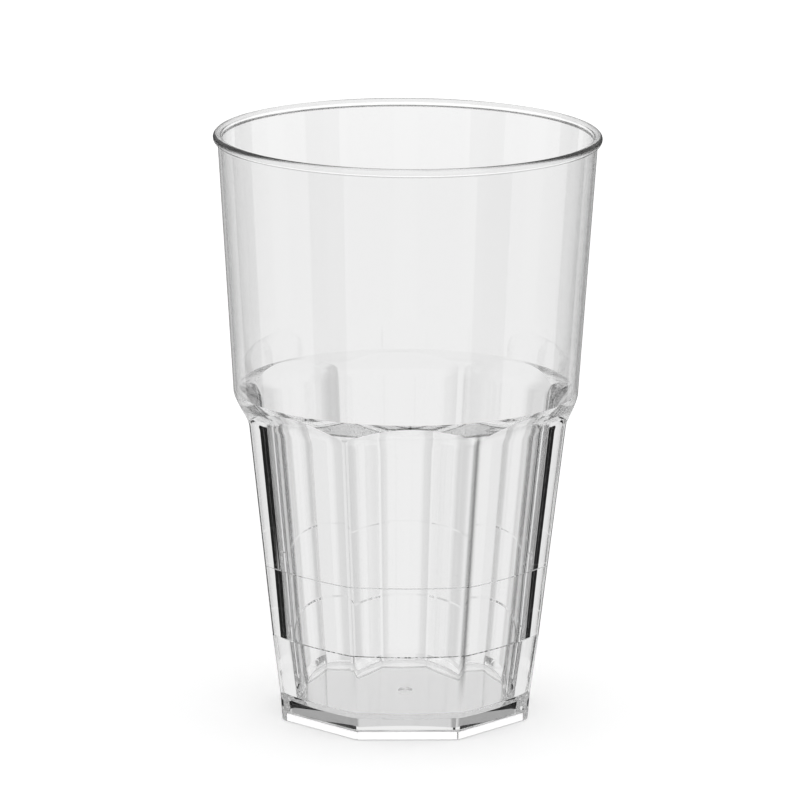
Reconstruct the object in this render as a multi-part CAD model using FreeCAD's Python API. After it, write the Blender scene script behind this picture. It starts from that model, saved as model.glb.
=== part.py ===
import FreeCAD, Part
import math
import os

# Clear plastic tumbler, moulded in one piece. Millimetres, +Z up, the foot stands on z = 0.
# The lower half is an eight-sided pyramid stump, the upper half a plain round cone.
# Every side runs out on the cone in a low arch, with a V of round wall between two arches.

# The whole cup
HEIGHT = 128.5
SIDES = 8

# Rim bead: a round thread of plastic on top of the thin wall
BEAD_RADIUS = 0.95
LIP_BEVEL = 0.5

# Upper wall, a cone outside from the shoulder to the rim
SHOULDER_Z = 72.0
SHOULDER_RADIUS = 37.5
RIM_FLARE = 4.5
UPPER_WALL = 0.85

# The eight flat sides. The ridges between them are set in from the shoulder to the knee; the
# middle of a side steps in from the knee to the heel, and from the heel to the foot.
KNEE_Z = 19.3
RIDGE_INSET = 6.165
HEEL_Z = 6.3
HEEL_INSET = 1.7
FOOT_INSET = 0.45
SIDE_SLOPE = 0.11
BEND_ROUND = 12.0

# Top end of a side: a cove, then a slope leaning out to the cone just under the shoulder
ARCH_SLOPE_DEG = 42.0
ARCH_DROP = 0.4
COVE_RADIUS = 4.5

# Rounded ridges between the sides, and the rounded bottom edge
RIDGE_RADIUS = 2.2
FOOT_EDGE = 0.5

# Inside: a ledge that starts just over the shoulder, then tapers that end on a fine step, on a
# deeper ring and on a bevelled floor. Each inset is measured from the radius above it.
LEDGE_RISE = 0.4
LEDGE_INSET = 4.2
STEP_Z = 34.7
STEP_INSET = 3.5
STEP_DEPTH = 0.25
RING_Z = 18.9
RING_INSET = 1.35
RING_DEPTH = 0.6
RING_RISE = 0.3
FLOOR_Z = 4.3
FLOOR_INSET = 1.9
FLOOR_BEVEL = 1.6

# Under the floor: an eight-sided recess inside a narrow foot, and the moulding gate mark
FOOT_WIDTH = 1.5
RECESS_DEPTH = 2.1
RECESS_ROUND = 0.6
GATE_RADIUS = 2.5
GATE_DEPTH = 0.35
GATE_STUB_RADIUS = 0.6

RIM_RADIUS = SHOULDER_RADIUS + RIM_FLARE
WALL_TOP_Z = HEIGHT - BEAD_RADIUS
WALL_TOP_RADIUS = RIM_RADIUS - BEAD_RADIUS
CONE_SLOPE = (WALL_TOP_RADIUS - SHOULDER_RADIUS) / (WALL_TOP_Z - SHOULDER_Z)
TURN = 360.0 / SIDES
ARCH_TOP_Z = SHOULDER_Z - ARCH_DROP
LEDGE_Z = SHOULDER_Z + LEDGE_RISE

# Sides, measured from the axis to the middle of a side
KNEE_HALF_WIDTH = (SHOULDER_RADIUS - RIDGE_INSET) * math.cos(math.radians(TURN / 2))
HEEL_HALF_WIDTH = KNEE_HALF_WIDTH - HEEL_INSET
FOOT_HALF_WIDTH = HEEL_HALF_WIDTH - FOOT_INSET

# Cavity radii from the top down
LEDGE_RADIUS = SHOULDER_RADIUS - LEDGE_INSET
STEP_RADIUS = LEDGE_RADIUS - STEP_INSET
STEP_LOW_RADIUS = STEP_RADIUS - STEP_DEPTH
RING_RADIUS = STEP_LOW_RADIUS - RING_INSET
RING_LOW_RADIUS = RING_RADIUS - RING_DEPTH
FLOOR_RADIUS = RING_LOW_RADIUS - FLOOR_INSET
BEVEL_TOP_RADIUS = FLOOR_RADIUS + FLOOR_INSET * FLOOR_BEVEL / (RING_Z - FLOOR_Z)


def cone_radius(z):
    return SHOULDER_RADIUS + CONE_SLOPE * (z - SHOULDER_Z)


def side_half_width(z):
    return KNEE_HALF_WIDTH + SIDE_SLOPE * (z - KNEE_Z)


def at(r, z):
    return FreeCAD.Vector(r, 0, z)


def arc_through(start, middle, end):
    return Part.Arc(start, middle, end).toShape()


def rounded_profile(corners):
    # Closed outline. Corners are (r, z, rounding); a rounding of 0 leaves a sharp corner.
    # A corner given as a list of three points is an arc that starts, passes and ends there.
    points = [c if isinstance(c, list) else at(c[0], c[1]) for c in corners]
    count = len(points)
    pieces = []
    for i in range(count):
        here = points[i]
        if isinstance(here, list):
            pieces.append((here[0], here[2], arc_through(*here)))
            continue
        rounding = corners[i][2]
        if rounding == 0:
            pieces.append((here, here, None))
            continue
        before = points[i - 1]
        after = points[(i + 1) % count]
        back = (before - here).normalize()
        ahead = (after - here).normalize()
        half = back.getAngle(ahead) / 2
        reach = rounding / math.tan(half)
        bisector = (back + ahead).normalize()
        middle = here + bisector * (rounding / math.sin(half) - rounding)
        start = here + back * reach
        end = here + ahead * reach
        pieces.append((start, end, arc_through(start, middle, end)))
    edges = []
    for i in range(count):
        start, end, arc = pieces[i]
        if arc is not None:
            edges.append(arc)
        edges.append(Part.LineSegment(end, pieces[(i + 1) % count][0]).toShape())
    return Part.Wire(edges)


def turned(corners):
    face = Part.Face(rounded_profile(corners))
    return face.revolve(FreeCAD.Vector(0, 0, 0), FreeCAD.Vector(0, 0, 1), 360)


lean = math.tan(math.radians(ARCH_SLOPE_DEG))

# Height where the slope of the arch and the flat side would meet without the cove
meet_z = KNEE_Z + (cone_radius(ARCH_TOP_Z) - KNEE_HALF_WIDTH - lean * (ARCH_TOP_Z - KNEE_Z)) / (
    SIDE_SLOPE - lean
)

# Cavity line, from the floor up. It widens all the way, so that the core of the mould can
# be drawn out.
upper_inner_low = cone_radius(LEDGE_Z) - UPPER_WALL
ledge_foot_z = LEDGE_Z - (upper_inner_low - LEDGE_RADIUS) / lean
inner_wall_radius = WALL_TOP_RADIUS - UPPER_WALL
cavity = [
    (FLOOR_RADIUS - FLOOR_BEVEL, FLOOR_Z, 0),
    (BEVEL_TOP_RADIUS, FLOOR_Z + FLOOR_BEVEL, 0),
    (RING_LOW_RADIUS, RING_Z, 0),
    (RING_RADIUS, RING_Z + RING_RISE, 0),
    (STEP_LOW_RADIUS, STEP_Z, 0),
    (STEP_RADIUS, STEP_Z + STEP_DEPTH, 0),
    (LEDGE_RADIUS, ledge_foot_z, 0),
    (upper_inner_low, LEDGE_Z, 0),
    (inner_wall_radius, WALL_TOP_Z, 0),
]

# Rim bead: half a round thread standing out from the wall, with a bevelled inner edge
bead = [
    at(WALL_TOP_RADIUS, HEIGHT - 2 * BEAD_RADIUS),
    at(RIM_RADIUS, WALL_TOP_Z),
    at(WALL_TOP_RADIUS, HEIGHT),
]

# Turned blank: the cone of the upper wall, upright below the arches so that the ridges lie
# inside it, the bead, the cavity
blank = turned([
    (0, 0, 0),
    (cone_radius(meet_z), 0, 0),
    (cone_radius(meet_z), meet_z, 0),
    (cone_radius(bead[0].z), bead[0].z, 0),
    bead,
    (inner_wall_radius + LIP_BEVEL, HEIGHT - 0.2 * LIP_BEVEL, 0),
    (inner_wall_radius, HEIGHT - LIP_BEVEL, 0),
] + cavity[::-1] + [(0, FLOOR_Z, 0)])

# One side as a cutter: everything outside its profile is taken away, straight across
OUTSIDE = RIM_RADIUS + 5
slope_out_z = ARCH_TOP_Z + (OUTSIDE - cone_radius(ARCH_TOP_Z)) / lean
side_corners = [
    (OUTSIDE, slope_out_z, 0),
    (side_half_width(meet_z), meet_z, COVE_RADIUS),
    (KNEE_HALF_WIDTH, KNEE_Z, BEND_ROUND),
    (HEEL_HALF_WIDTH, HEEL_Z, BEND_ROUND),
    (FOOT_HALF_WIDTH, 0, 0),
    (FOOT_HALF_WIDTH, -5, 0),
    (OUTSIDE, -5, 0),
]
cutter = Part.Face(rounded_profile(side_corners))
cutter = cutter.extrude(FreeCAD.Vector(0, 2 * OUTSIDE, 0))
cutter.translate(FreeCAD.Vector(0, -OUTSIDE, 0))
# A side faces the front (-Y)
cutter.rotate(FreeCAD.Vector(0, 0, 0), FreeCAD.Vector(0, 0, 1), -90)
cutters = []
for i in range(SIDES):
    one = cutter.copy()
    one.rotate(FreeCAD.Vector(0, 0, 0), FreeCAD.Vector(0, 0, 1), i * TURN)
    cutters.append(one)
body = blank.cut(cutters)


def is_ridge(edge):
    # A ridge lies in the upright plane through the axis halfway between two sides.
    low = edge.valueAt(edge.FirstParameter)
    high = edge.valueAt(edge.LastParameter)
    middle = edge.valueAt((edge.FirstParameter + edge.LastParameter) / 2)
    if abs(low.z - high.z) < 0.05:
        return False
    for p in (low, high, middle):
        angle = math.degrees(math.atan2(p.y, p.x)) + 90
        off = (angle - TURN / 2) % TURN
        if min(off, TURN - off) > 0.2:
            return False
    return math.hypot(middle.x, middle.y) > FOOT_HALF_WIDTH


ridges = [edge for edge in body.Edges if is_ridge(edge)]
print("ridge edges", len(ridges))
body = body.makeFillet(RIDGE_RADIUS, ridges)

# Bottom edge of the foot
bottom = [
    edge for edge in body.Edges
    if abs(edge.BoundBox.ZMax) < 1e-6 and abs(edge.BoundBox.ZMin) < 1e-6
]
body = body.makeFillet(FOOT_EDGE, bottom)

# Recess under the floor, eight-sided like the foot
recess_half = FOOT_HALF_WIDTH - FOOT_WIDTH
corner = recess_half / math.cos(math.radians(TURN / 2))
ring = []
for i in range(SIDES + 1):
    angle = math.radians(-90 + TURN / 2 + i * TURN)
    ring.append(FreeCAD.Vector(corner * math.cos(angle), corner * math.sin(angle), 0))
recess = Part.Face(Part.makePolygon(ring)).extrude(FreeCAD.Vector(0, 0, RECESS_DEPTH))
softened = [edge for edge in recess.Edges if edge.BoundBox.ZMax > RECESS_DEPTH / 2]
recess = recess.makeFillet(RECESS_ROUND, softened)
body = body.cut(recess)

# Gate mark in the middle of the recess: a shallow dish with a broken-off stub in it
dish_radius = (GATE_RADIUS ** 2 + GATE_DEPTH ** 2) / (2 * GATE_DEPTH)
dish_centre = FreeCAD.Vector(0, 0, RECESS_DEPTH + GATE_DEPTH - dish_radius)
body = body.cut(Part.makeSphere(dish_radius, dish_centre))
stub = Part.makeCylinder(GATE_STUB_RADIUS, 2 * GATE_DEPTH, FreeCAD.Vector(0, 0, RECESS_DEPTH))
body = body.fuse(stub)

body = body.removeSplitter()
solid = body.Solids[0]
print("solids", len(body.Solids), "valid", solid.isValid())
print("volume_cm3", round(solid.Volume / 1000, 2))
core = turned([(0, FLOOR_Z, 0)] + cavity + [(inner_wall_radius, HEIGHT, 0), (0, HEIGHT, 0)])
print("brim_ml", round(core.Volume / 1000, 1))
print("box", solid.BoundBox)

os.makedirs("parts", exist_ok=True)
solid.exportStep("parts/tumbler.step")
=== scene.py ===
# %% [markdown]
# # A clear plastic tumbler with eight flat sides
# The cup is one moulding of clear hard plastic. The upper half is a thin round wall with a
# bead at the rim, and the lower half is a thick wall with eight flat sides outside and a
# round cavity inside. We start from the CAD solid, which fixes the size of everything.

# %% Load the CAD frame
import math

import bmesh
import bpy
from mathutils import Matrix, Vector


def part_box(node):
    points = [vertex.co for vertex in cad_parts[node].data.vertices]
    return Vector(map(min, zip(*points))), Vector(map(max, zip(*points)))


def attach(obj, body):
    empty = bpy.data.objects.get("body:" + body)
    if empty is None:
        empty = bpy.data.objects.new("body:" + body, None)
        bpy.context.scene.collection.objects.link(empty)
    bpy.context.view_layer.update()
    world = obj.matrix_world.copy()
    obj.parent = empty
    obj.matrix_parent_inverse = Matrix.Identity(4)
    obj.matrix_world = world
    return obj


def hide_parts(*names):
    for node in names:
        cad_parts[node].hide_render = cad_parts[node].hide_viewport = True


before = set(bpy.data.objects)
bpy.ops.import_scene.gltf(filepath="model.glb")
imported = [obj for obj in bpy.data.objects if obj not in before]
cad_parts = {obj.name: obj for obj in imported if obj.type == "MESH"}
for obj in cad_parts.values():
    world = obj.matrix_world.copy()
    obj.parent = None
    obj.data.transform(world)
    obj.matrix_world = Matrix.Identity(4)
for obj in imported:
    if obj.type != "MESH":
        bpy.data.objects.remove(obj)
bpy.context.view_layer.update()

scene = bpy.context.scene
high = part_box("tumbler")[1]
print("CAD cup: height", round(high.z * 1000, 2), "mm, rim", round(high.x * 2000, 2), "mm")

# %% [markdown]
# ## Camera
# The photograph looks slightly down on the cup from far away, so the uprights hardly
# converge. A long lens at a bit over a metre gives that. The pose was found by matching the
# tips between the arches and the corners of the foot with the photograph, and later also the
# rim and the ledge.

# %% Place the camera
CAMERA_DISTANCE = 1.28
CAMERA_HEIGHT = 0.3715
CAMERA_ROUND = math.radians(-2.03)
CAMERA_AIM = math.radians(0.056)
CAMERA_DOWN = math.radians(13.285)
CAMERA_ROLL = math.radians(0.426)
LENS_LENGTH = 271.85

lens = bpy.data.cameras.new("long_lens")
lens.sensor_width = 36
lens.lens = LENS_LENGTH
lens.clip_end = 20
camera = bpy.data.objects.new("camera", lens)
scene.collection.objects.link(camera)
spot = Vector((
    CAMERA_DISTANCE * math.sin(CAMERA_ROUND),
    -CAMERA_DISTANCE * math.cos(CAMERA_ROUND),
    CAMERA_HEIGHT,
))
camera.matrix_world = (
    Matrix.Translation(spot)
    @ Matrix.Rotation(CAMERA_ROUND + CAMERA_AIM, 4, "Z")
    @ Matrix.Rotation(math.radians(90) - CAMERA_DOWN, 4, "X")
    @ Matrix.Rotation(CAMERA_ROLL, 4, "Z")
)
scene.camera = camera
print("camera at", [round(v, 3) for v in spot])

# %% [markdown]
# ## Sizes
# Glass and clear plastic show every surface twice, in front and behind, so the wall must
# have the true thickness everywhere. The mesh therefore follows the same sizes as the CAD
# solid, in millimetres. Height and rim come from the solid itself.

# %% Name the sizes
MM = 0.001
HEIGHT = high.z / MM
RIM_RADIUS = high.x / MM
SIDES = 8
HALF_SIDE = math.pi / SIDES

BEAD_RADIUS = 0.95
LIP_BEVEL = 0.5

SHOULDER_Z = 72.0
SHOULDER_RADIUS = 37.5
UPPER_WALL = 0.85

FOOT_HALF_WIDTH = 26.8
HEEL_Z = 6.3
HEEL_HALF_WIDTH = 27.25
KNEE_Z = 19.3
KNEE_HALF_WIDTH = 28.95
SIDE_SLOPE = 0.11
BEND_ROUND = 12.0

ARCH_LEAN = math.tan(math.radians(42.0))
ARCH_TOP_Z = 71.6
COVE_RADIUS = 4.5
RIDGE_RADIUS = 2.2
FOOT_EDGE = 0.5

LEDGE_Z = 72.4
LEDGE_RADIUS = 33.3
STEP_Z = 34.7
STEP_RADIUS = 29.8
STEP_DEPTH = 0.25
RING_Z = 18.9
RING_RADIUS = 28.2
RING_DEPTH = 0.6
RING_RISE = 0.3
FLOOR_Z = 4.3
FLOOR_RADIUS = 25.7
FLOOR_BEVEL = 1.6
FLOOR_EDGE_ROUND = 0.2
BEVEL_TOP_RADIUS = 25.91

FOOT_WIDTH = 1.5
RECESS_DEPTH = 2.1
RECESS_ROUND = 0.6
GATE_RADIUS = 2.5
GATE_DEPTH = 0.35
GATE_STUB_RADIUS = 0.6
GATE_STUB_RISE = 0.25

wall_top_z = HEIGHT - BEAD_RADIUS
wall_top_radius = RIM_RADIUS - BEAD_RADIUS
inner_top_radius = wall_top_radius - UPPER_WALL
cone_slope = (wall_top_radius - SHOULDER_RADIUS) / (wall_top_z - SHOULDER_Z)


def cone_radius(z):
    return SHOULDER_RADIUS + cone_slope * (z - SHOULDER_Z)


def side_half_width(z):
    return KNEE_HALF_WIDTH + SIDE_SLOPE * (z - KNEE_Z)


print("upper wall leans", round(math.degrees(math.atan(cone_slope)), 2), "degrees")

# %% [markdown]
# ## Profile lines
# A cup is easiest to describe by the line that its wall follows from bottom to top. We give
# only the corners and how much each one is rounded, and let a helper lay the arcs. It also
# adds a point just beside each arc, so that the smooth shading of a long flat stretch stays
# flat and doesn't bend the light.

# %% Helper for rounded profile lines
def rounded_line(corners, steps=14, beside=0.35, longest=6.0):
    """(r, z, rounding) corners -> points along the line with the roundings as arcs"""
    points = [Vector((r, z)) for r, z, rounding in corners]
    arcs = []
    for i, here in enumerate(points):
        rounding = corners[i][2]
        if rounding == 0 or i in (0, len(points) - 1):
            arcs.append([here])
            continue
        back = (points[i - 1] - here).normalized()
        ahead = (points[i + 1] - here).normalized()
        half = back.angle(ahead) / 2
        centre = here + (back + ahead).normalized() * (rounding / math.sin(half))
        start = here + back * (rounding / math.tan(half)) - centre
        end = here + ahead * (rounding / math.tan(half)) - centre
        turn = start.angle(end) * (1 if start.cross(end) > 0 else -1)
        count = max(2, round(abs(turn) / (math.pi / 2) * steps))
        arc = []
        for j in range(count + 1):
            a = turn * j / count
            arc.append(centre + Vector((
                start.x * math.cos(a) - start.y * math.sin(a),
                start.x * math.sin(a) + start.y * math.cos(a),
            )))
        arcs.append(arc)
    line = []
    for arc in arcs:
        if line:
            before = line[-1]
            run = arc[0] - before
            if run.length > 3 * beside:
                line.append(before + run * (beside / run.length))
                pieces = max(1, int(run.length / longest))
                line += [before + run * (j / pieces) for j in range(1, pieces)]
                line.append(arc[0] - run * (beside / run.length))
        line += arc
    return line


square_turn = rounded_line([(0, 0, 0), (10, 0, 1), (10, 10, 0)])
print("a square corner becomes a line of", len(square_turn), "points")

# %% [markdown]
# ## One level of the cup
# At any height the outside of the lower half is an eight-sided ring with rounded corners,
# cut off by the round cone where the cone lies further in. Seen from the middle of a side,
# half a side is enough: a flat stretch, then the rounded ridge, then the stretch of cone.
# The columns of the mesh are kept on the borders between these three, so the edge where a
# flat side meets the round cone is a true, crisp edge.

# %% Helpers for one level
FLAT_SHARES = (0, 0.35, 0.7, 0.93, 0.985, 1.0)
RIDGE_COLUMNS = 7
CONE_COLUMNS = 16
HALVINGS = 40


def eight_sided(half_width, cone, ridge):
    """half a side as (angle from its middle, radius) pairs"""
    corner = (half_width - ridge) / math.cos(HALF_SIDE)

    def ridge_at(angle):
        off = corner * math.sin(HALF_SIDE - angle)
        return corner * math.cos(HALF_SIDE - angle) + math.sqrt(max(0.0, ridge ** 2 - off ** 2))

    flat_end = math.atan2((half_width - ridge) * math.tan(HALF_SIDE), half_width)
    crossing = 0.0
    if half_width < cone:
        crossing = math.acos(half_width / cone)
        if crossing > flat_end:
            crossing = HALF_SIDE
            if ridge_at(HALF_SIDE) > cone:
                inside, outside = flat_end, HALF_SIDE
                for halving in range(HALVINGS):
                    crossing = (inside + outside) / 2
                    if ridge_at(crossing) < cone:
                        inside = crossing
                    else:
                        outside = crossing
    first = min(flat_end, crossing)
    level = []
    for share in FLAT_SHARES:
        angle = math.atan2(share * half_width * math.tan(first), half_width)
        level.append((angle, half_width / math.cos(angle)))
    for j in range(1, RIDGE_COLUMNS + 1):
        angle = first + (max(crossing, first) - first) * j / RIDGE_COLUMNS
        radius = ridge_at(angle) if crossing > flat_end else cone
        level.append((angle, min(radius, cone)))
    for j in range(1, CONE_COLUMNS + 1):
        angle = crossing + (HALF_SIDE - crossing) * j / CONE_COLUMNS
        level.append((angle, cone if crossing < HALF_SIDE else ridge_at(HALF_SIDE)))
    return level


def round_level(radius):
    """the same columns on a circle, with the flat and ridge columns drawn together"""
    level = [(0.0, radius)] * (len(FLAT_SHARES) + RIDGE_COLUMNS)
    return level + [(HALF_SIDE * j / CONE_COLUMNS, radius) for j in range(1, CONE_COLUMNS + 1)]


NO_CONE = 1e6
print("columns in a half side:", len(round_level(1)))

# %% [markdown]
# ## Underside
# The foot is a narrow eight-sided edge round a shallow recess. In the middle is the mark of
# the moulding gate: a dish with a short stub where the plastic was broken off.

# %% Levels of the underside, from the middle out to the foot
STUB_SHARES = (0.002, 0.5, 0.9, 1.0)
DISH_STEPS = 6
RECESS_RIDGE = 0.4
RECESS_LEVELS = (10, 18)

levels = []
spread = [angle for angle, radius in eight_sided(10, NO_CONE, 1)]


def disc_level(radius, z):
    levels.append(([(angle, radius) for angle in spread], z))


dish_radius = (GATE_RADIUS ** 2 + GATE_DEPTH ** 2) / (2 * GATE_DEPTH)
dish_centre_z = RECESS_DEPTH + GATE_DEPTH - dish_radius
for share in STUB_SHARES:
    disc_level(GATE_STUB_RADIUS * share, RECESS_DEPTH + GATE_STUB_RISE)
for j in range(DISH_STEPS + 1):
    r = GATE_STUB_RADIUS + (GATE_RADIUS - GATE_STUB_RADIUS) * j / DISH_STEPS
    disc_level(r, dish_centre_z + math.sqrt(dish_radius ** 2 - r ** 2))
disc_level(GATE_RADIUS + 0.3, RECESS_DEPTH)
disc_level(4.0, RECESS_DEPTH)

recess_half_width = FOOT_HALF_WIDTH - FOOT_WIDTH
for half_width in RECESS_LEVELS:
    levels.append((eight_sided(half_width, NO_CONE, RECESS_RIDGE), RECESS_DEPTH))
recess_line = rounded_line([
    (RECESS_LEVELS[-1], RECESS_DEPTH, 0),
    (recess_half_width, RECESS_DEPTH, RECESS_ROUND),
    (recess_half_width, 0, 0),
])
for p in recess_line[1:]:
    levels.append((eight_sided(p.x, NO_CONE, RECESS_RIDGE), p.y))
print("underside levels:", len(levels))

# %% [markdown]
# ## The eight sides
# From the foot up, the sides stand nearly upright with two hardly visible bends, and near
# the top a cove and a slope carry each side out to the round cone. The slope meets the cone
# in a low arch, so the levels there are packed closer and closer towards its peak.

# %% Levels of the sides
slope_reach = cone_radius(ARCH_TOP_Z) - KNEE_HALF_WIDTH - ARCH_LEAN * (ARCH_TOP_Z - KNEE_Z)
meet_z = KNEE_Z + slope_reach / (SIDE_SLOPE - ARCH_LEAN)
side_corners = [
    (FOOT_HALF_WIDTH - FOOT_EDGE, 0, 0),
    (FOOT_HALF_WIDTH, 0, FOOT_EDGE * 0.999),
    (HEEL_HALF_WIDTH, HEEL_Z, BEND_ROUND),
    (KNEE_HALF_WIDTH, KNEE_Z, BEND_ROUND),
    (side_half_width(meet_z), meet_z, COVE_RADIUS),
    (cone_radius(ARCH_TOP_Z), ARCH_TOP_Z, 0),
]
ARCH_START_Z = 67.6
ARCH_LEVELS = 26
side_line = [p for p in rounded_line(side_corners) if p.y <= ARCH_START_Z]
fine_line = rounded_line(side_corners, steps=120, beside=0.05, longest=0.5)
for j in range(1, ARCH_LEVELS + 1):
    z = ARCH_START_Z + (ARCH_TOP_Z - ARCH_START_Z) * (1 - (1 - j / ARCH_LEVELS) ** 2)
    for p, q in zip(fine_line, fine_line[1:]):
        if p.y <= z <= q.y and q.y > p.y:
            share = (z - p.y) / (q.y - p.y)
            side_line.append(Vector((p.x + (q.x - p.x) * share, z)))
            break
for p in side_line:
    levels.append((eight_sided(p.x, cone_radius(p.y), RIDGE_RADIUS), p.y))
print("side levels:", len(side_line), "up to", round(side_line[-1].y, 2), "mm")

# %% [markdown]
# ## Upper wall, rim and cavity
# All of this is round, so the levels are circles. The rim is a half-round thread of plastic
# outside with a small bevel inside. Inside, the thin wall ends on a sloping ledge, and the
# cavity narrows to the floor with two fine lines round it, where the core of the mould is
# taken to be stepped.

# %% Levels of the round part
BEAD_STEPS = 18
upper_inner_low = cone_radius(LEDGE_Z) - UPPER_WALL
ledge_foot_z = LEDGE_Z - (upper_inner_low - LEDGE_RADIUS) / ARCH_LEAN
bead_low_z = HEIGHT - 2 * BEAD_RADIUS
round_line = rounded_line([
    (cone_radius(ARCH_TOP_Z), ARCH_TOP_Z, 0),
    (cone_radius(bead_low_z), bead_low_z, 0),
])
for j in range(1, BEAD_STEPS + 1):
    a = math.pi * j / BEAD_STEPS
    round_line.append(Vector((
        wall_top_radius + BEAD_RADIUS * math.sin(a),
        wall_top_z - BEAD_RADIUS * math.cos(a),
    )))
round_line += rounded_line([
    (inner_top_radius + LIP_BEVEL, HEIGHT - 0.2 * LIP_BEVEL, 0),
    (inner_top_radius, HEIGHT - LIP_BEVEL, 0),
    (inner_top_radius, wall_top_z, 0),
    (upper_inner_low, LEDGE_Z, 0),
    (LEDGE_RADIUS, ledge_foot_z, COVE_RADIUS),
    (STEP_RADIUS, STEP_Z + STEP_DEPTH, 0),
    (STEP_RADIUS - STEP_DEPTH, STEP_Z, 0),
    (RING_RADIUS, RING_Z + RING_RISE, 0),
    (RING_RADIUS - RING_DEPTH, RING_Z, 0),
    (BEVEL_TOP_RADIUS, FLOOR_Z + FLOOR_BEVEL, FLOOR_EDGE_ROUND),
    (FLOOR_RADIUS - FLOOR_BEVEL, FLOOR_Z, FLOOR_EDGE_ROUND),
    (0.05, FLOOR_Z, 0),
])
for p in round_line[1:]:
    levels.append((round_level(p.x), p.y))
print("levels in all:", len(levels))

# %% [markdown]
# ## Skin
# Every level becomes a ring of points, and neighbouring rings are joined by four-sided
# faces. Where columns lie on each other, the doubled points are merged. Smooth shading with
# sharp edges above a small angle keeps the curved parts liquid and the real edges crisp.

# %% Build the mesh
SHARP_ANGLE = math.radians(28)
MERGE_DISTANCE = 2e-6
NO_LENGTH = 1e-7


def ring_points(half_level, z):
    ring = []
    for side in range(SIDES):
        middle = side * 2 * HALF_SIDE
        around = [(middle - angle, r) for angle, r in reversed(half_level)]
        around += [(middle + angle, r) for angle, r in half_level]
        ring += [(r * math.sin(a) * MM, -r * math.cos(a) * MM, z * MM) for a, r in around]
    return ring


bm = bmesh.new()
rings = [[bm.verts.new(point) for point in ring_points(half, z)] for half, z in levels]
around = len(rings[0])
for lower, upper in zip(rings, rings[1:]):
    for i in range(around):
        k = (i + 1) % around
        bm.faces.new((lower[i], lower[k], upper[k], upper[i]))
bmesh.ops.remove_doubles(bm, verts=bm.verts, dist=MERGE_DISTANCE)
bmesh.ops.dissolve_degenerate(bm, edges=bm.edges, dist=NO_LENGTH)
ends = [edge for edge in bm.edges if edge.is_boundary]
bmesh.ops.holes_fill(bm, edges=ends, sides=0)
bmesh.ops.recalc_face_normals(bm, faces=bm.faces)
cup_mesh = bpy.data.meshes.new("tumbler_skin")
bm.to_mesh(cup_mesh)
print("open edges", sum(1 for e in bm.edges if not e.is_manifold))
print("plastic", round(bm.calc_volume() * 1e6, 2), "cm3")
bm.free()

# %% [markdown]
# ## The cup as a piece
# The skin stands for the CAD solid, so it replaces that node and rides on its body.

# %% Make the piece
for face in cup_mesh.polygons:
    face.use_smooth = True
cup_mesh.set_sharp_from_angle(angle=SHARP_ANGLE)
cup = bpy.data.objects.new("tumbler_cup", cup_mesh)
scene.collection.objects.link(cup)
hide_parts("tumbler")
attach(cup, "root")
print("faces", len(cup_mesh.polygons))

# %% [markdown]
# ## Flow waves
# A moulded wall is never optically perfect: it has slow waves from the flow of the plastic.
# They could be modelled, but a height for a bump is enough, and it is built as a node group
# with named inputs, so that it can be placed in a material with its own values. The noise is
# drawn out along the height of the cup.

# %% Group for the flow waves
def new_group(name, inputs, outputs):
    group = bpy.data.node_groups.new(name, "ShaderNodeTree")
    for label, value in inputs:
        socket = group.interface.new_socket(label, in_out="INPUT", socket_type="NodeSocketFloat")
        socket.default_value = value
    for label in outputs:
        group.interface.new_socket(label, in_out="OUTPUT", socket_type="NodeSocketFloat")
    return group, group.nodes.new("NodeGroupInput"), group.nodes.new("NodeGroupOutput")


waves, waves_in, waves_out = new_group("flow_waves", [("Scale", 60.0), ("Stretch", 0.3)], ["Height"])
where = waves.nodes.new("ShaderNodeTexCoord")
squeeze = waves.nodes.new("ShaderNodeVectorMath")
squeeze.operation = "MULTIPLY"
combine = waves.nodes.new("ShaderNodeCombineXYZ")
combine.inputs[0].default_value = 1
combine.inputs[1].default_value = 1
waves.links.new(waves_in.outputs["Stretch"], combine.inputs[2])
waves.links.new(where.outputs["Object"], squeeze.inputs[0])
waves.links.new(combine.outputs[0], squeeze.inputs[1])
noise = waves.nodes.new("ShaderNodeTexNoise")
noise.inputs["Detail"].default_value = 1.0
waves.links.new(squeeze.outputs[0], noise.inputs["Vector"])
waves.links.new(waves_in.outputs["Scale"], noise.inputs["Scale"])
waves.links.new(noise.outputs["Fac"], waves_out.inputs["Height"])
print(waves.name, "has", len(waves.nodes), "nodes")

# %% [markdown]
# ## Hair scratches
# A cup that has been washed and stacked carries fine scratches. The photograph is too coarse
# to show any, so these are a guess and kept faint. The level line of a drawn-out noise is a
# long thin stroke, which costs far less to render than a pattern of cells would.

# %% Group for the scratches
SCRATCH_TURN = (0.4, 0.25, 0.7)
SCRATCH_STRETCH = (1.0, 1.0, 0.05)
SCRATCH_LEVEL = 0.56
SCRATCH_HALF_WIDTH = 0.004


def math_node(tree, operation, first, second=0):
    """a Math node with numbers or sockets as inputs; gives its output socket"""
    node = tree.nodes.new("ShaderNodeMath")
    node.operation = operation
    for socket, value in zip(node.inputs, (first, second)):
        if isinstance(value, (int, float)):
            socket.default_value = value
        else:
            tree.links.new(value, socket)
    return node.outputs[0]


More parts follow.
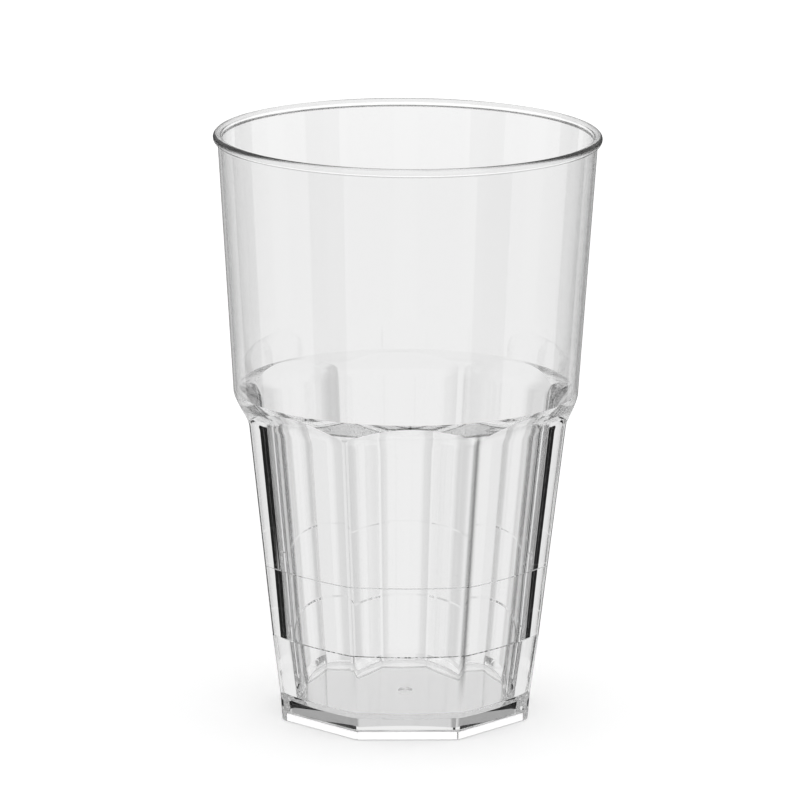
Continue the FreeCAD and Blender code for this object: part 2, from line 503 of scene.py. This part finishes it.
scratches, scratches_in, scratches_out = new_group(
    "hair_scratches", [("Scale", 220.0), ("Amount", 0.05)], ["Mask"])
where = scratches.nodes.new("ShaderNodeTexCoord")
mapping = scratches.nodes.new("ShaderNodeMapping")
mapping.inputs["Rotation"].default_value = SCRATCH_TURN
mapping.inputs["Scale"].default_value = SCRATCH_STRETCH
strokes = scratches.nodes.new("ShaderNodeTexNoise")
strokes.inputs["Detail"].default_value = 0.0
scratches.links.new(where.outputs["Object"], mapping.inputs["Vector"])
scratches.links.new(mapping.outputs[0], strokes.inputs["Vector"])
scratches.links.new(scratches_in.outputs["Scale"], strokes.inputs["Scale"])
from_level = math_node(scratches, "SUBTRACT", strokes.outputs["Fac"], SCRATCH_LEVEL)
off_line = math_node(scratches, "ABSOLUTE", from_level)
on_line = math_node(scratches, "LESS_THAN", off_line, SCRATCH_HALF_WIDTH)
amount = math_node(scratches, "MULTIPLY", on_line, scratches_in.outputs["Amount"])
scratches.links.new(amount, scratches_out.inputs["Mask"])
print(scratches.name, "has", len(scratches.nodes), "nodes")

# %% [markdown]
# ## Painted shade on the ridges: where it lies
# In the photograph the front right ridge is darker than the others. What darkens it isn't
# known, so the shade painted here into the colour is a guess that only copies the look. It
# lies on the ridges of the outside, fades out to both sides of a ridge, and stops above the
# foot and below the shoulder. The outside lies beyond a line that leans with the wall. The
# cavity and the recess lie within that line and stay clear.

# %% Group for the painted shade on the ridges and the matt rim
# heights in mm where the painted shade on the ridges fades out
SHADE_FADE_TOP = 3.0
SHADE_FOOT_START = 6.0
SHADE_FOOT_END = 20.0
OUTSIDE_AT_FOOT = 0.0280
OUTSIDE_LEAN = 0.115


def soft_step(tree, value, start, end, rising=True):
    """a smooth ramp over value from start to end: 0 to 1 when rising, else 1 to 0"""
    node = tree.nodes.new("ShaderNodeMapRange")
    node.interpolation_type = "SMOOTHSTEP"
    for label, given in (("Value", value), ("From Min", start), ("From Max", end)):
        if isinstance(given, (int, float)):
            node.inputs[label].default_value = given
        else:
            tree.links.new(given, node.inputs[label])
    node.inputs["To Min"].default_value = 0.0 if rising else 1.0
    node.inputs["To Max"].default_value = 1.0 if rising else 0.0
    return node.outputs["Result"]


# this group gives the mask of the painted shade on the ridges, and the mask of the matt rim for
# roughness
shade_and_rim, shade_and_rim_in, shade_and_rim_out = new_group(
    "ridge_shade_and_matt_rim",
    [("Weak", 0.25), ("Strong", 0.9), ("Half Width", 1.2), ("Top", 71.0)],
    ["Mask", "Rim"],
)
where = shade_and_rim.nodes.new("ShaderNodeTexCoord")
axes = shade_and_rim.nodes.new("ShaderNodeSeparateXYZ")
shade_and_rim.links.new(where.outputs["Object"], axes.inputs[0])
flat_x, flat_y = axes.outputs["X"], axes.outputs["Y"]
angle = math_node(shade_and_rim, "ARCTAN2", flat_x, math_node(shade_and_rim, "MULTIPLY", flat_y, -1.0))
radius_squared = math_node(
    shade_and_rim, "ADD", math_node(shade_and_rim, "POWER", flat_x, 2.0), math_node(shade_and_rim, "POWER", flat_y, 2.0))
radius = math_node(shade_and_rim, "SQRT", radius_squared)
turned = math_node(shade_and_rim, "SUBTRACT", angle, HALF_SIDE)
apart = math_node(shade_and_rim, "PINGPONG", turned, HALF_SIDE)
beside_mm = math_node(shade_and_rim, "MULTIPLY", math_node(shade_and_rim, "MULTIPLY", apart, radius), 1 / MM)
near = soft_step(shade_and_rim, beside_mm, 0.0, shade_and_rim_in.outputs["Half Width"], rising=False)
height_mm = math_node(shade_and_rim, "MULTIPLY", axes.outputs["Z"], 1 / MM)
fade_start = math_node(shade_and_rim, "SUBTRACT", shade_and_rim_in.outputs["Top"], SHADE_FADE_TOP)
below = soft_step(shade_and_rim, height_mm, fade_start, shade_and_rim_in.outputs["Top"], rising=False)
above = soft_step(shade_and_rim, height_mm, SHADE_FOOT_START, SHADE_FOOT_END)
leaning = math_node(shade_and_rim, "MULTIPLY", axes.outputs["Z"], OUTSIDE_LEAN)
limit = math_node(shade_and_rim, "ADD", OUTSIDE_AT_FOOT, leaning)
outside = math_node(shade_and_rim, "GREATER_THAN", radius, limit)
in_height = math_node(shade_and_rim, "MULTIPLY", below, above)
place = math_node(shade_and_rim, "MULTIPLY", math_node(shade_and_rim, "MULTIPLY", near, in_height), outside)
print(shade_and_rim.name, "has", len(shade_and_rim.nodes), "nodes so far")

# %% [markdown]
# ## Painted shade on the ridges: how strong it is
# Every other ridge is strong and the ones between are weak, and both fade towards the ridge
# opposite the front right one, which has none. The front right ridge gets the whole painted
# shade, the two ridges a quarter turn from it get half of that, and the rest get little.

# %% Strength of the painted shade
swing = math_node(shade_and_rim, "SINE", math_node(shade_and_rim, "MULTIPLY", angle, SIDES / 2))
every_other = math_node(shade_and_rim, "ADD", 0.5, math_node(shade_and_rim, "MULTIPLY", swing, 0.5))
facing = math_node(shade_and_rim, "COSINE", math_node(shade_and_rim, "SUBTRACT", angle, HALF_SIDE))
one_side = math_node(shade_and_rim, "ADD", 0.5, math_node(shade_and_rim, "MULTIPLY", facing, 0.5))
gain = math_node(shade_and_rim, "SUBTRACT", shade_and_rim_in.outputs["Strong"], shade_and_rim_in.outputs["Weak"])
extra = math_node(shade_and_rim, "MULTIPLY", every_other, gain)
strength = math_node(shade_and_rim, "ADD", shade_and_rim_in.outputs["Weak"], extra)
strength = math_node(shade_and_rim, "MULTIPLY", strength, one_side)
# mask of the painted shade: where the ridges are painted dark, and how dark
ridge_shade_mask = math_node(shade_and_rim, "MULTIPLY", place, strength)
shade_and_rim.links.new(ridge_shade_mask, shade_and_rim_out.inputs["Mask"])
print(shade_and_rim.name, "has", len(shade_and_rim.nodes), "nodes so far")

# %% [markdown]
# ## The rim
# The bead at the rim is taken to be slightly matt, from lips, stacking and the edge of the
# mould. This too is a guess. A mask that starts just under the bead and is full over nearly
# all of it is enough.

# %% Mask of the rim
rim_start = HEIGHT - 2.4 * BEAD_RADIUS
rim_full = HEIGHT - 1.8 * BEAD_RADIUS
shade_and_rim.links.new(soft_step(shade_and_rim, height_mm, rim_start, rim_full), shade_and_rim_out.inputs["Rim"])
print("matt from", round(rim_start, 2), "mm up, fully from", round(rim_full, 2), "mm")

# %% [markdown]
# ## Clear plastic
# Hard clear plastic bends light a little more than window glass. Transmission does the
# work. The waves go into a very weak bump. The scratches and the matt rim lift the
# roughness, and the painted shade on the ridges darkens the colour that the light is given.

# %% Material of the cup
PLASTIC_IOR = 1.57
WAVE_STRENGTH = 0.06
WAVE_DEPTH = 0.00002
RIM_ROUGHNESS = 0.13
WHITE = (1.0, 1.0, 1.0, 1.0)
# near-black colour of the painted shade on the ridges
RIDGE_PAINTED_SHADE = (0.02, 0.02, 0.02, 1.0)

clear = bpy.data.materials.new("clear_plastic_moulded")
clear.use_nodes = True
tree = clear.node_tree
shader = tree.nodes["Principled BSDF"]
shader.inputs["Base Color"].default_value = WHITE
shader.inputs["Transmission Weight"].default_value = 1.0
shader.inputs["Metallic"].default_value = 0.0
shader.inputs["IOR"].default_value = PLASTIC_IOR


def place_group(group):
    node = tree.nodes.new("ShaderNodeGroup")
    node.node_tree = group
    return node


bump = tree.nodes.new("ShaderNodeBump")
bump.inputs["Strength"].default_value = WAVE_STRENGTH
bump.inputs["Distance"].default_value = WAVE_DEPTH
tree.links.new(place_group(waves).outputs["Height"], bump.inputs["Height"])
tree.links.new(bump.outputs["Normal"], shader.inputs["Normal"])
scratch_node = place_group(scratches)
shade_and_rim_node = place_group(shade_and_rim)
matt_rim = math_node(tree, "MULTIPLY", shade_and_rim_node.outputs["Rim"], RIM_ROUGHNESS)
roughness = math_node(tree, "MAXIMUM", scratch_node.outputs["Mask"], matt_rim)
tree.links.new(roughness, shader.inputs["Roughness"])
# mixes the painted shade on the ridges into the colour of the clear plastic
ridge_shade_mix = tree.nodes.new("ShaderNodeMix")
ridge_shade_mix.data_type = "RGBA"
ridge_shade_mix.inputs["A"].default_value = WHITE
ridge_shade_mix.inputs["B"].default_value = RIDGE_PAINTED_SHADE
tree.links.new(shade_and_rim_node.outputs["Mask"], ridge_shade_mix.inputs["Factor"])
tree.links.new(ridge_shade_mix.outputs["Result"], shader.inputs["Base Color"])
cup_mesh.materials.append(clear)
print(clear.name, "has", len(tree.nodes), "nodes")

# %% [markdown]
# ## Table
# The studio table is a pale board. Seen through the plastic, the far table would hide the
# backdrop, so it is hidden from light that was bent or mirrored, and only a small round piece
# of it, right under the cup, is left for that. Both lie a hair below the foot.

# %% Table top
TABLE_RADIUS = 3.0
UNDER_CUP_RADIUS = 0.03
TABLE_GAP = 0.00005
TABLE_CORNERS = 96


def circle(mesh, radius):
    turns = [2 * math.pi * i / TABLE_CORNERS for i in range(TABLE_CORNERS)]
    return [mesh.verts.new((radius * math.cos(a), radius * math.sin(a), 0)) for a in turns]


def flat_disc(name, inner, outer):
    """a flat round piece of the table, with a round hole when inner isn't 0"""
    mesh = bmesh.new()
    ring_out = circle(mesh, outer)
    if inner == 0:
        mesh.faces.new(ring_out)
    else:
        ring_in = circle(mesh, inner)
        for i in range(TABLE_CORNERS):
            k = (i + 1) % TABLE_CORNERS
            mesh.faces.new((ring_out[i], ring_out[k], ring_in[k], ring_in[i]))
    data = bpy.data.meshes.new(name)
    mesh.to_mesh(data)
    mesh.free()
    disc = bpy.data.objects.new(name, data)
    scene.collection.objects.link(disc)
    disc.location.z = -TABLE_GAP
    return disc


table = flat_disc("table_top", UNDER_CUP_RADIUS, TABLE_RADIUS)
table.visible_transmission = False
table.visible_glossy = False
table_middle = flat_disc("table_middle", 0, UNDER_CUP_RADIUS)
print("table pieces:", table.name, "and", table_middle.name)

# %% [markdown]
# ## Board
# The board is sprayed and a touch uneven in tone. It glows a little for the camera and
# through the plastic, so that both see it near white, while it keeps the shadow of the cup.
# Light Path counts how often a ray went through a surface. Two crossings are one wall. Through
# the foot alone the board glows more than through wall and floor.

# %% Material of the table
BOARD_LOW_TONE = (0.84, 0.84, 0.84, 1.0)
BOARD_HIGH_TONE = (0.86, 0.86, 0.86, 1.0)
BOARD_GRAIN = 900.0
BOARD_ROUGHNESS = 0.6
CAMERA_GLOW = 0.35
THROUGH_GLOW = 0.4
FOOT_GLOW = 0.45
OVER_TWO_CROSSINGS = 2.5
FIRST_MIRRORING = 0.5

board = bpy.data.materials.new("sprayed_board")
board.use_nodes = True
tree = board.node_tree
board_shader = tree.nodes["Principled BSDF"]
board_shader.inputs["Roughness"].default_value = BOARD_ROUGHNESS
board_shader.inputs["Specular IOR Level"].default_value = 0.0
grain = tree.nodes.new("ShaderNodeTexNoise")
grain.inputs["Scale"].default_value = BOARD_GRAIN
tint = tree.nodes.new("ShaderNodeMix")
tint.data_type = "RGBA"
tint.inputs["A"].default_value = BOARD_LOW_TONE
tint.inputs["B"].default_value = BOARD_HIGH_TONE
tree.links.new(grain.outputs["Fac"], tint.inputs["Factor"])
tree.links.new(tint.outputs["Result"], board_shader.inputs["Base Color"])
rays = tree.nodes.new("ShaderNodeLightPath")
one_wall = math_node(tree, "LESS_THAN", rays.outputs["Transmission Depth"], OVER_TWO_CROSSINGS)
straight = math_node(tree, "LESS_THAN", rays.outputs["Glossy Depth"], FIRST_MIRRORING)
near_foot = math_node(tree, "MULTIPLY", one_wall, straight)
foot_part = math_node(tree, "MULTIPLY", near_foot, FOOT_GLOW)
seen_through = math_node(tree, "ADD", THROUGH_GLOW, foot_part)
to_camera = math_node(tree, "MULTIPLY", rays.outputs["Is Camera Ray"], CAMERA_GLOW)
to_plastic = math_node(tree, "MULTIPLY", rays.outputs["Is Transmission Ray"], seen_through)
board_shader.inputs["Emission Color"].default_value = WHITE
glow = math_node(tree, "ADD", to_camera, to_plastic)
tree.links.new(glow, board_shader.inputs["Emission Strength"])
for disc in (table, table_middle):
    disc.data.materials.append(board)
print(board.name, "has", len(tree.nodes), "nodes")

# %% [markdown]
# ## Light, and the kinds of ray
# What shows the form of clear plastic is not the light on it but what is seen through it: a
# white backdrop, and dark cards beside it, outside the picture. A real studio shows every ray
# the same surroundings. Here the world asks how often a ray went through a surface and how
# often it was mirrored, and shows each kind of ray its own, so that the dark lines can be
# placed without greying the rest. Cards and ceiling are met only by light that was mirrored
# at least twice, or mirrored once and went through at most two surfaces.

# %% Directions and kinds of ray
SECOND_MIRRORING = 1.5

world = bpy.data.worlds.new("studio")
scene.world = world
world.use_nodes = True
tree = world.node_tree
rays = tree.nodes.new("ShaderNodeLightPath")
where = tree.nodes.new("ShaderNodeTexCoord")
axes = tree.nodes.new("ShaderNodeSeparateXYZ")
tree.links.new(where.outputs["Generated"], axes.inputs[0])
up = axes.outputs["Z"]
bearing = math_node(tree, "ARCTAN2", axes.outputs["X"], axes.outputs["Y"])
crossings = rays.outputs["Transmission Depth"]
mirrorings = rays.outputs["Glossy Depth"]
few_crossings = math_node(tree, "LESS_THAN", crossings, OVER_TWO_CROSSINGS)
once = math_node(tree, "MULTIPLY",
                 math_node(tree, "GREATER_THAN", mirrorings, FIRST_MIRRORING), few_crossings)
often = math_node(tree, "GREATER_THAN", mirrorings, SECOND_MIRRORING)
bent_hard = math_node(tree, "MAXIMUM", once, often)
unmirrored = math_node(tree, "LESS_THAN", mirrorings, FIRST_MIRRORING)
print("world nodes so far:", len(tree.nodes))

# %% [markdown]
# ## Dark cards
# Four cards stand round the cup: two behind it, as the photograph sees it, and two in front,
# each at the same angle from the line of view. Light mirrored twice or more meets wider ones
# in the same four quarters. They were tuned on the front view, and the lower edge of the two
# behind lies higher than that of the two in front. Seen from a diagonal, the black lines that
# the cards draw are nearly gone.

# %% Cards in the world
CARD_START = math.radians(42)
CARD_END = math.radians(66)
CARD_SOFTNESS = 0.01
WIDE_CARD_START = math.radians(15)
WIDE_CARD_END = math.radians(75)
WIDE_CARD_SOFTNESS = 0.015
HIGHER_PAIR_START = math.radians(36.5)
HIGHER_PAIR_END = math.radians(69.5)
HIGHER_PAIR_SOFTNESS = math.radians(0.5)
CARD_LOW_EDGE = math.sin(math.radians(-19.4))
CARD_DROP = math.sin(math.radians(7))
CARD_HIGH_EDGE = math.sin(math.radians(9))
LOW_EDGE_SOFTNESS = 0.008
HIGH_EDGE_SOFTNESS = 0.02
CARD_DARKNESS = 0.99


def band(value, start, end, softness):
    """1 between start and end, 0 outside, with soft borders"""
    rise = soft_step(tree, value, start - softness, start + softness)
    fall = soft_step(tree, value, end - softness, end + softness, rising=False)
    return math_node(tree, "MULTIPLY", rise, fall)


def rest_of(value):
    return math_node(tree, "SUBTRACT", 1.0, value)


off_axis = math_node(tree, "PINGPONG", bearing, math.pi / 2)
cards = band(off_axis, CARD_START, CARD_END, CARD_SOFTNESS)
wide_cards = band(off_axis, WIDE_CARD_START, WIDE_CARD_END, WIDE_CARD_SOFTNESS)
any_card = math_node(tree, "ADD",
                     math_node(tree, "MULTIPLY", often, wide_cards),
                     math_node(tree, "MULTIPLY", rest_of(often), cards))
aside = math_node(tree, "ABSOLUTE", bearing)
higher_pair = band(aside, HIGHER_PAIR_START, HIGHER_PAIR_END, HIGHER_PAIR_SOFTNESS)
drop = math_node(tree, "MULTIPLY", rest_of(higher_pair), CARD_DROP)
over_edge = math_node(tree, "ADD", up, drop)
from_low = soft_step(
    tree, over_edge, CARD_LOW_EDGE - LOW_EDGE_SOFTNESS, CARD_LOW_EDGE + LOW_EDGE_SOFTNESS)
to_high = soft_step(
    tree, up, CARD_HIGH_EDGE - HIGH_EDGE_SOFTNESS, CARD_HIGH_EDGE + HIGH_EDGE_SOFTNESS,
    rising=False)
card = math_node(tree, "MULTIPLY", any_card, math_node(tree, "MULTIPLY", from_low, to_high))
dark = math_node(tree, "MULTIPLY", card, bent_hard)
bright = rest_of(math_node(tree, "MULTIPLY", dark, CARD_DARKNESS))
print("cards from", round(math.degrees(CARD_START)), "to", round(math.degrees(CARD_END)), "degrees")

# %% [markdown]
# ## Ceiling
# Mirrored light that leaves upwards meets a dim ceiling with eight paler patches. So it
# comes out grey and a little uneven, and not plain white.

# %% Ceiling for mirrored light
THROUGH_LIGHT = 0.9
CEILING_LIGHT = 0.42
CEILING_START = 0.15
CEILING_FULL = 0.22
CEILING_PATCH = 0.35

wave = math_node(tree, "COSINE", math_node(tree, "MULTIPLY", bearing, SIDES))
ceiling = math_node(tree, "MULTIPLY", soft_step(tree, up, CEILING_START, CEILING_FULL), bent_hard)
patches = math_node(tree, "MULTIPLY", math_node(tree, "MAXIMUM", wave, 0.0), CEILING_PATCH)
missing = math_node(tree, "SUBTRACT", 1.0 - CEILING_LIGHT, patches)
dimmed = rest_of(math_node(tree, "MULTIPLY", ceiling, missing))
bright = math_node(tree, "MULTIPLY", bright, dimmed)
bright = math_node(tree, "MULTIPLY", bright, THROUGH_LIGHT)
print("world nodes so far:", len(tree.nodes))

# %% [markdown]
# ## Backdrop
# Light that went through both walls without being mirrored sees the backdrop. At eight
# bearings it is whole, and between them it is up to a fifth dimmer, so that the wall isn't
# one even white.

# %% Backdrop behind both walls
BACKDROP_FALLOFF = 0.2
FALLOFF_FULL = -0.95
OVER_THREE_CROSSINGS = 3.5

fallen = soft_step(tree, wave, FALLOFF_FULL, 0.0, rising=False)
falloff = math_node(tree, "MULTIPLY", fallen, BACKDROP_FALLOFF)
both_walls = math_node(tree, "GREATER_THAN", crossings, OVER_THREE_CROSSINGS)
falloff = math_node(tree, "MULTIPLY", falloff, math_node(tree, "MULTIPLY", both_walls, unmirrored))
bright = math_node(tree, "MULTIPLY", bright, rest_of(falloff))
print("world nodes so far:", len(tree.nodes))

# %% [markdown]
# ## Lamp
# Light that went through one wall and wasn't mirrored meets a soft lamp about level with the
# cup, brighter than the backdrop, and a dimmer room higher up. From the height of the
# photograph it is mainly the rim that bends light that way, because the straight view through
# a wall goes below the lamp. From a lower height that view meets the lamp too.

# %% Lamp for light through one wall
LAMP_LIGHT = 0.3
UPPER_DIM = 0.3
LAMP_START = -0.2
LAMP_FULL = -0.08
DIM_START = 0.1
DIM_FULL = 0.35

lamp = math_node(tree, "MULTIPLY", soft_step(tree, up, LAMP_START, LAMP_FULL), LAMP_LIGHT)
dim = math_node(tree, "MULTIPLY", soft_step(tree, up, DIM_START, DIM_FULL), LAMP_LIGHT + UPPER_DIM)
one_wall = math_node(tree, "MULTIPLY", unmirrored, few_crossings)
lamp_and_dim = math_node(tree, "MULTIPLY", math_node(tree, "SUBTRACT", lamp, dim), one_wall)
bright = math_node(tree, "ADD", bright, lamp_and_dim)
print("lamp gives up to", round(THROUGH_LIGHT + LAMP_LIGHT, 2))

# %% [markdown]
# ## Camera, mirror images and the room
# The camera sees plain white. A ray that leaves the cup by being mirrored on its skin meets a
# dark room that is paler higher up, so that the gloss stays faint. All other light, and all
# that lights the table, also through the cup, comes from an even room.

# %% Sum of all kinds of light
ROOM_LIGHT = 0.9
REFLECTED_LOW = 0.08
REFLECTED_HIGH = 0.45
REFLECTED_START = -0.1
REFLECTED_FULL = 0.25
FIRST_SCATTERING = 0.5

to_camera = rays.outputs["Is Camera Ray"]
is_through = rays.outputs["Is Transmission Ray"]
is_mirrored = rays.outputs["Is Glossy Ray"]
through = math_node(tree, "MULTIPLY", is_through, bright)
paler = math_node(tree, "MULTIPLY",
                  soft_step(tree, up, REFLECTED_START, REFLECTED_FULL), REFLECTED_HIGH - REFLECTED_LOW)
reflected = math_node(tree, "ADD", REFLECTED_LOW, paler)
only_mirrored = math_node(tree, "SUBTRACT", is_mirrored, is_through)
mirrored = math_node(tree, "MULTIPLY", math_node(tree, "MAXIMUM", only_mirrored, 0.0), reflected)
seen = math_node(tree, "ADD", math_node(tree, "ADD", to_camera, through), mirrored)
named = math_node(tree, "ADD", math_node(tree, "ADD", to_camera, is_through), is_mirrored)
others = rest_of(math_node(tree, "MINIMUM", named, 1.0))
direct = math_node(tree, "ADD", seen, math_node(tree, "MULTIPLY", others, ROOM_LIGHT))
scattered = math_node(tree, "GREATER_THAN", rays.outputs["Diffuse Depth"], FIRST_SCATTERING)
room = math_node(tree, "MULTIPLY", scattered, ROOM_LIGHT)
light = math_node(tree, "ADD", room, math_node(tree, "MULTIPLY", direct, rest_of(scattered)))
backdrop = tree.nodes["Background"]
backdrop.inputs["Color"].default_value = WHITE
tree.links.new(light, backdrop.inputs["Strength"])
print("world nodes in all:", len(tree.nodes))

# %% [markdown]
# ## Render settings
# A colour should render as it is written, so the view transform is the plain one. A ray can
# be mirrored many times in a thick ridge before it gets out, so it is allowed many bounces.

# %% View and bounces
scene.view_settings.view_transform = "Standard"
scene.cycles.max_bounces = 48
scene.cycles.transmission_bounces = 24
scene.cycles.glossy_bounces = 32
print("bounces at most:", scene.cycles.max_bounces)
